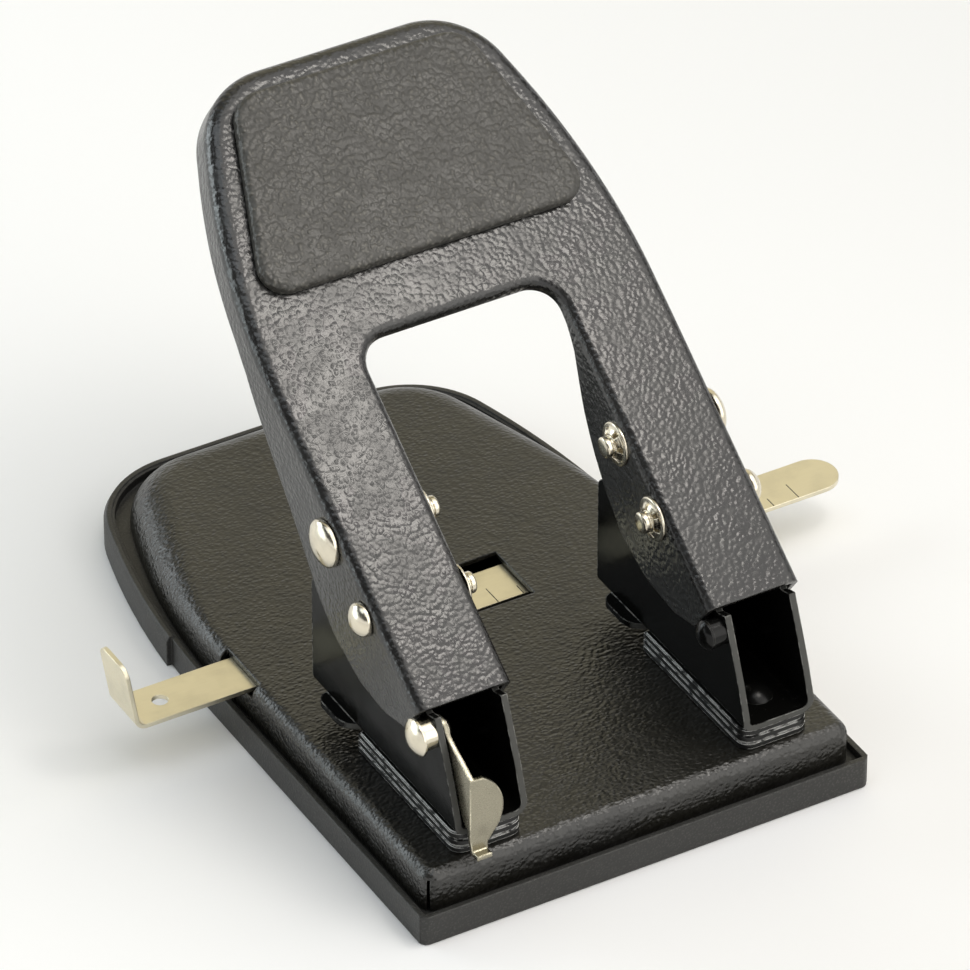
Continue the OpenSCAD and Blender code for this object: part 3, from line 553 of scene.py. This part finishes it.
# the plate: one closed outline, whose edge grows rounder towards the platform's end
P_TOP, P_SKIRT, P_SHEET = 15.0, 5.3, 1.2
P_HW, P_FRONT, P_REAR, P_BEND_Y = 52.0, 53.6, 108.3, 38.2
P_SIDE_R, P_CORNER_R, P_FRONT_R = 169.6, 19.3, 3.2
P_BEND = (34, 86, 3.0, 9.2)         # from and to along Y, and the bend's radii
CUT_LOW, CUT_HIGH = 8, 20           # heights that the cutters span
VIEW_HX, VIEW_HY = 17, 8.5          # half the viewing window
NOTCH_FROM, NOTCH_TO, NOTCH_ROOM, NOTCH_UNDER = 50, 60, 1.5, 0.9
HOLE_R, HOLE_DEPTH = 3.9, 10
SLIT, SLIT_TURN = (8, 0.7, 8), -45  # the open corners of the skirt
SLIT_X, SLIT_Y, SLIT_Z = 52.6, -54.2, 9.2


def plate_outline():
    reach = P_REAR - P_CORNER_R - P_BEND_Y
    side_c = (P_HW - P_SIDE_R, P_BEND_Y)
    c = (side_c[0] + math.sqrt((P_SIDE_R - P_CORNER_R) ** 2 - reach ** 2), P_REAR - P_CORNER_R)
    t = math.atan2(c[1] - side_c[1], c[0] - side_c[0])
    f = P_FRONT_R
    half = line((0, -P_FRONT), (P_HW - f, -P_FRONT), (0, -1), 6)
    half += arc((P_HW - f, f - P_FRONT), f, -QUARTER, 0, 6)
    half += line((P_HW, f - P_FRONT), (P_HW, P_BEND_Y), (1, 0), 12)[1:]
    half += arc(side_c, P_SIDE_R, 0, t, 16)
    half += arc(c, P_CORNER_R, t, QUARTER, 20)[1:]
    half += line((c[0], P_REAR), (0, P_REAR), (0, 1), 5)[1:]
    middle = [((0, P_REAR), (0, 1))]
    return [(p, n, grow(p[1], *P_BEND), P_TOP - P_SKIRT)
            for p, n in half + middle + mirrored(half[1:])]


def plate_cutter():
    """The viewing window, the guide's notches, the punch holes and the skirt's slits."""
    cut = bmesh.new()
    block(cut, (-VIEW_HX, GUIDE_Y - VIEW_HY, CUT_LOW), (VIEW_HX, GUIDE_Y + VIEW_HY, CUT_HIGH))
    side = GUIDE_W / 2 + NOTCH_ROOM
    for sgn in (-1, 1):
        x = sorted((sgn * NOTCH_FROM, sgn * NOTCH_TO))
        block(cut, (x[0], GUIDE_Y - side, GUIDE_LOW - NOTCH_UNDER),
              (x[1], GUIDE_Y + side, CUT_HIGH))
        hole = bmesh.ops.create_cone(cut, cap_ends=True, segments=40, radius1=HOLE_R,
                                     radius2=HOLE_R, depth=HOLE_DEPTH)["verts"]
        bmesh.ops.translate(cut, verts=hole, vec=(sgn * HX, 0, P_TOP))
        slit = bmesh.ops.create_cube(cut, size=1.0)["verts"]
        turned = Matrix.Rotation(math.radians(SLIT_TURN * sgn), 3, "Z")
        bmesh.ops.scale(cut, verts=slit, vec=SLIT)
        bmesh.ops.rotate(cut, verts=slit, cent=(0, 0, 0), matrix=turned)
        bmesh.ops.translate(cut, verts=slit, vec=(sgn * SLIT_X, SLIT_Y, SLIT_Z))
    bmesh.ops.scale(cut, verts=cut.verts, vec=(MM, MM, MM))
    bmesh.ops.recalc_face_normals(cut, faces=cut.faces)
    me = bpy.data.meshes.new("cutter")
    cut.to_mesh(me)
    cut.free()
    return show("cutter", me)


bm = bmesh.new()
top, low = bent_rim(bm, plate_outline(), P_SHEET)
rim_faces(bm, top, low, True)
bm.faces.new([row[0] for row in top])
bm.faces.new([row[0] for row in low])
plate = piece("plate_pressing", bm, BASE, "base",
              Matrix.Translation((0, 0, P_TOP * MM)))
cutter = plate_cutter()
holes = plate.modifiers.new("holes", "BOOLEAN")
holes.operation = "DIFFERENCE"
holes.solver = "EXACT"
holes.object = cutter
bpy.context.view_layer.update()
now = plate.evaluated_get(bpy.context.evaluated_depsgraph_get())
whole = bpy.data.meshes.new_from_object(now)
plate.modifiers.clear()
plate.data = whole
bpy.data.objects.remove(cutter)
smooth(whole)
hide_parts("base_plate")
even_normals(plate)


# the pad: rings of one outline, set in and raised over the lever's face
PAD_RINGS = ((0.3, 0.02), (0.06, 0.2), (0.0, 0.5), (0.0, 1.5), (0.05, 1.95), (0.2, 2.35),
             (0.46, 2.65), (0.82, 2.86), (1.3, 2.96), (2.0, 3.0), (3.4, 3.02), (5.2, 3.03))
PAD_SPLIT = 50.0


def pad_ring(inset, height):
    """The pad's outline, set in by a distance, at a height over the lever's face."""
    r0, r1 = PAD_LOW_R, PAD_TOP_R
    a = PAD_TAPER
    top_hw = PAD_HW - (PAD_TO - PAD_FROM) * math.tan(a)
    c0 = (PAD_HW - r0 * (1 + math.sin(a)) / math.cos(a), PAD_FROM + r0)
    c1 = (top_hw - r1 * (1 - math.sin(a)) / math.cos(a), PAD_TO - r1)
    half = arc(c0, r0 - inset, -QUARTER, a, 12) + arc(c1, r1 - inset, a, QUARTER, 12)
    return [(x, y, height) for (x, y), _ in half + mirrored(half)]


bm = bmesh.new()
skin_rings(bm, [pad_ring(inset, height) for inset, height in PAD_RINGS])
pad = piece("pad_grip", bm, PAD, "lever", ON_FACE)
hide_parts("handle_pad")
sharpen(pad, PAD_SPLIT)


# pins and push nuts
LATHE_SIDES = 40
PIVOT_HEAD, DRIVE_HEAD = 7.8, 10.8  # head diameters
# a pin's chamfered and grooved end: (along, radius)
PIN_END = ((0.0, 0.6), (0.0, 1.95), (0.12, 2.2), (0.3, 2.36), (0.5, PIN_R), (1.25, PIN_R),
           (1.4, 2.15), (1.85, 2.15), (2.0, PIN_R))
# its head's rolled rim: (out from the leg, out from the head's radius)
PIN_RIM = ((0.02, -0.3), (0.12, -0.08), (0.32, 0.0), (0.95, 0.0), (1.18, -0.1))
DOME_FROM, DOME_H = 1.2, 2.0
DOME_STEPS, DOME_TIP, DOME_WIDTH = 11, 11.5, 0.965
PIN_SPLIT, NUT_SPLIT = 36.0, 30.0
# a push nut's section: (radius, height off the leg)
NUT_SECTION = ((2.48, 1.45), (2.75, 1.5), (3.15, 1.3), (3.6, 0.95), (3.95, 0.72), (4.4, 0.66),
               (4.75, 0.6), (4.95, 0.42), (5.0, 0.2), (5.0, 0.0), (2.48, 0.0))
NUT_SIDES, NUT_LUGS = 96, 6
NUT_SLOT_HALF, NUT_SLOT_R, NUT_SLOT_H, NUT_SLOT_FLOOR = 8, 3.7, 0.5, 0.3
PIVOT_NUT_TURN, DRIVE_NUT_TURN = 17, 41


def lathe(bm, profile, point, sgn):
    """A turned solid along X: profile of (x, radius) from the middle of the part outward."""
    turns = [FULL * k / LATHE_SIDES for k in range(LATHE_SIDES)]
    skin_rings(bm, [[(sgn * x, point[0] + r * math.cos(a), point[1] + r * math.sin(a))
                     for a in turns] for x, r in profile])


def pin_profile(head_d):
    """Chamfered end with a groove, shank, and a domed head with a rolled rim."""
    end = LEG_IN - NUT_T - PIN_OUT
    dome_r = (head_d * head_d / 4 + DOME_H * DOME_H) / (2 * DOME_H)
    dome_c = LEVER_HW + DOME_FROM + DOME_H - dome_r
    spread = math.asin(head_d / 2 / dome_r)
    p = [(end + x, r) for x, r in PIN_END] + [(LEVER_HW, PIN_R)]
    p += [(LEVER_HW + x, head_d / 2 + r) for x, r in PIN_RIM]
    for k in range(1, DOME_STEPS + 1):
        a = spread * (1 - k / DOME_TIP) * DOME_WIDTH
        p.append((dome_c + dome_r * math.cos(a), dome_r * math.sin(a)))
    return p


def push_nut(bm, point, sgn, turn):
    """A dished ring with lugs that grip the pin, on the window side of a leg."""
    pitch = 360 / NUT_LUGS
    rings = []
    for r, h in NUT_SECTION:
        ring = []
        for k in range(NUT_SIDES):
            a = FULL * k / NUT_SIDES
            in_slot = abs((math.degrees(a) + turn) % pitch - pitch / 2) < NUT_SLOT_HALF
            up = NUT_SLOT_FLOOR if in_slot and r < NUT_SLOT_R and h > NUT_SLOT_H else h
            ring.append((sgn * (LEG_IN - up), point[0] + r * math.cos(a),
                         point[1] + r * math.sin(a)))
        rings.append(ring)
    skin_rings(bm, rings, closed=True)


for side, sgn in (("left", -1), ("right", 1)):
    for kind, point, head in (("pivot", PIVOT, PIVOT_HEAD), ("drive", DRIVE, DRIVE_HEAD)):
        bm = bmesh.new()
        lathe(bm, pin_profile(head), point, sgn)
        o = piece("%s_%s_rivet" % (side, kind), bm, NICKEL, "lever")
        sharpen(o, PIN_SPLIT)
        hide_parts("%s_%s_pin" % (side, kind))

bm = bmesh.new()
for sgn in (-1, 1):
    push_nut(bm, PIVOT, sgn, PIVOT_NUT_TURN)
    push_nut(bm, DRIVE, sgn, DRIVE_NUT_TURN)
nuts = sharpen(piece("push_nut_rings", bm, NICKEL, "lever"), NUT_SPLIT)
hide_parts("push_nuts")


# return springs
COIL_TURNS, COIL_STEPS, WIRE_SIDES = 7.5, 40, 12
COIL_CLOSED = SPRING_WIRE * 1.06    # pitch of the closed turn at each end
COIL_EASE = (-0.15, -0.08, 0, 0.08, 0.15)
COIL_SPLIT = 50.0


def coil_height(t):
    """Height of the wire's middle after t turns."""
    low, high = SPRING_LOW + SPRING_WIRE / 2, SPRING_HIGH - SPRING_WIRE / 2
    pitch = (high - low - 2 * COIL_CLOSED) / (COIL_TURNS - 2)
    if t < 1:
        return low + COIL_CLOSED * t
    if t > COIL_TURNS - 1:
        return high - COIL_CLOSED * (COIL_TURNS - t)
    return low + COIL_CLOSED + pitch * (t - 1)


def spring(name, side, sgn):
    """A coil with closed ends, wound from a round wire."""
    n = int(COIL_TURNS * COIL_STEPS)
    middle = []
    for k in range(n + 1):
        t = COIL_TURNS * k / n
        eased = [coil_height(min(max(t + d, 0), COIL_TURNS)) for d in COIL_EASE]
        middle.append(Vector((sgn * HX + SPRING_R * math.cos(FULL * t),
                              SPRING_R * math.sin(FULL * t), sum(eased) / len(eased))))
    round_wire = [FULL * j / WIRE_SIDES for j in range(WIRE_SIDES)]
    rings = []
    for k, c in enumerate(middle):
        along = (middle[min(k + 1, n)] - middle[max(k - 1, 0)]).normalized()
        out = Vector((c.x - sgn * HX, c.y, 0)).normalized()
        up = along.cross(out)
        rings.append([c + SPRING_WIRE / 2 * (math.cos(a) * out + math.sin(a) * up)
                      for a in round_wire])
    bm = bmesh.new()
    skin_rings(bm, rings)
    o = sharpen(piece(name, bm, WIRE, "base"), COIL_SPLIT)
    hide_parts("%s_return_spring" % side)
    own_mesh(o)


spring("left_coil", "left", -1)
spring("right_coil", "right", 1)


# scale lines on the guide strip, every quarter inch
MARK_FROM, MARK_STEP, MARKS = -9.5, 6.35, 16
MARK_SHORT, MARK_LONG, MARK_HALF = 3.0, 5.4, 0.11
MARK_IN, MARK_SUNK, MARK_PROUD = 0.15, 0.01, 0.015

bm = bmesh.new()
for k in range(MARKS):
    x = MARK_FROM + MARK_STEP * k
    y = GUIDE_Y - GUIDE_W / 2 + MARK_IN
    length = MARK_LONG if k % 2 else MARK_SHORT
    block(bm, (x - MARK_HALF, y, GUIDE_TOP - MARK_SUNK),
          (x + MARK_HALF, y + length, GUIDE_TOP + MARK_PROUD))
piece("guide_scale", bm, INK, "guide")


# floor, light and camera

FLOOR_HALF, FLOOR_Z = 4.0, -0.0002
ROOM = 0.10
SWEEP_FROM, SWEEP_TO = 0.34, 0.22   # height of a direction where the sweep turns white
# soft bright zones: direction, degrees to where they start and end to fade, light
ZONES = (((0.40, 0.70, 0.59), 6, 40, (0.87, 0.805, 0.60)),
         ((0.40, -0.33, 0.85), 32, 42, (1.56, 1.53, 1.49)),
         ((0.40, -0.82, 0.38), 12, 32, (2.1, 2.06, 1.98)),
         ((-0.86, 0.48, 0.08), 8, 26, (2.5, 2.75, 2.8)))
# square lamps: name, place, target, side in metres, watts, colour
LAMPS = (("key", (0.097, -0.089, 0.37), (-0.035, 0.02, 0.09), 0.10, 0.24, (1.0, 0.95, 0.88)),
         ("left", (-0.46, 0.59, 0.33), (-0.05, 0.05, 0.03), 0.35, 1.2, (0.88, 0.97, 1.0)),
         ("top", (-0.45, 0.1, 1.15), (-0.05, 0.03, 0.0), 0.7, 2.2, (0.88, 0.95, 1.0)))
EYE = (-0.767, -1.3208, 1.187)
EYE_RIGHT, EYE_UP = Vector((0.867, -0.4986, 0)), Vector((0.2957, 0.5138, 0.8056))
EYE_BACK = Vector((-0.4016, -0.698, 0.5926))
LENS, SENSOR = 334.06, 36.0


def floor():
    """A plain white floor."""
    m, nt, shader = start("floor_paper")
    feed(nt, rgb(0.93, 0.93, 0.93), shader.inputs["Base Color"])
    feed(nt, 0.9, shader.inputs["Roughness"])
    feed(nt, 0.1, shader.inputs["Specular IOR Level"])
    s, z = FLOOR_HALF, FLOOR_Z
    me = bpy.data.meshes.new("floor")
    me.from_pydata([(-s, -s, z), (s, -s, z), (s, s, z), (-s, s, z)], [], [(0, 1, 2, 3)])
    o = show("floor", me)
    me.materials.append(m)


def lamp(name, at, target, side, power, colour):
    data = bpy.data.lights.new(name, "AREA")
    data.shape = "RECTANGLE"
    data.size = data.size_y = side
    data.energy = power
    data.color = colour
    o = show(name, data)
    o.location = at
    o.rotation_mode = "QUATERNION"
    o.rotation_quaternion = (Vector(target) - Vector(at)).to_track_quat("-Z", "Y")


def studio():
    """A white sweep low down, and a dim room above it with soft bright zones."""
    world = bpy.data.worlds.new("studio")
    scene.world = world
    world.use_nodes = True
    nt = world.node_tree
    way = add(nt, "TexCoord").outputs["Generated"]
    high = add(nt, "SeparateXYZ", Vector=way).outputs["Z"]
    sweep = ramp(nt, high, SWEEP_FROM, SWEEP_TO)
    colour = mix_colour(nt, sweep, rgb(ROOM, ROOM, ROOM), rgb(1, 1, 1))
    for axis, inner, outer, light in ZONES:
        near = vector_node(nt, "DOT_PRODUCT", way, Vector(axis).normalized())
        part = ramp(nt, near, math.cos(math.radians(outer)), math.cos(math.radians(inner)))
        colour = mix_colour(nt, part, colour, rgb(*light))
    back = nt.nodes["Background"]
    feed(nt, colour, back.inputs["Color"])
    feed(nt, 1.0, back.inputs["Strength"])


floor()
studio()
for row in LAMPS:
    lamp(*row)

camera = bpy.data.cameras.new("camera")
camera.sensor_width = SENSOR
camera.lens = LENS
camera.clip_start, camera.clip_end = 0.05, 20.0
eye = show("camera", camera)
axes = Matrix([v.normalized() for v in (EYE_RIGHT, EYE_UP, EYE_BACK)]).transposed()
eye.rotation_mode = "QUATERNION"
eye.rotation_quaternion = axes.to_quaternion()
eye.location = EYE
scene.camera = eye
scene.view_settings.view_transform = "Standard"
